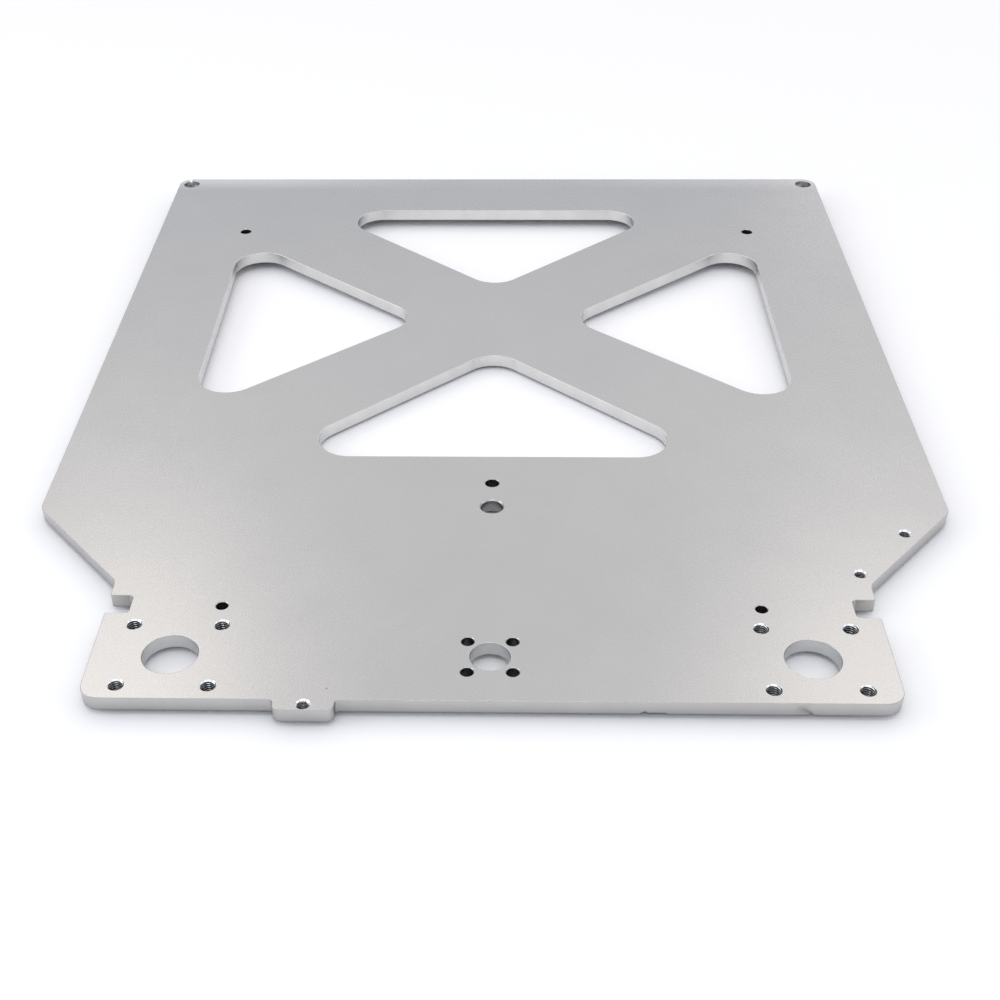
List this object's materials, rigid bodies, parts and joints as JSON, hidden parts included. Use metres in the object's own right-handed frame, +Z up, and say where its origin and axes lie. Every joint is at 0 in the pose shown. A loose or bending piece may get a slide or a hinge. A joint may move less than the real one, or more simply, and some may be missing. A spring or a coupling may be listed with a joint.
{
  "type": "printer base plate",
  "caption": "Flat aluminium carriage plate with a slanted waist, triangular windows and bores for guide rods and a lead-screw nut.",
  "frame": {"origin": "centre of the lead-screw nut's bore, on the plate's underside", "axes": "+Z up through the plate, +Y from the rod end to the far end with the windows, +X to the right"},
  "size_m": [0.2566, 0.3092, 0.004],
  "materials": {
    "plate": "bead blasted"
  },
  "bodies": {
    "root": {"base_plate": "plate"}
  },
  "joints": []
}
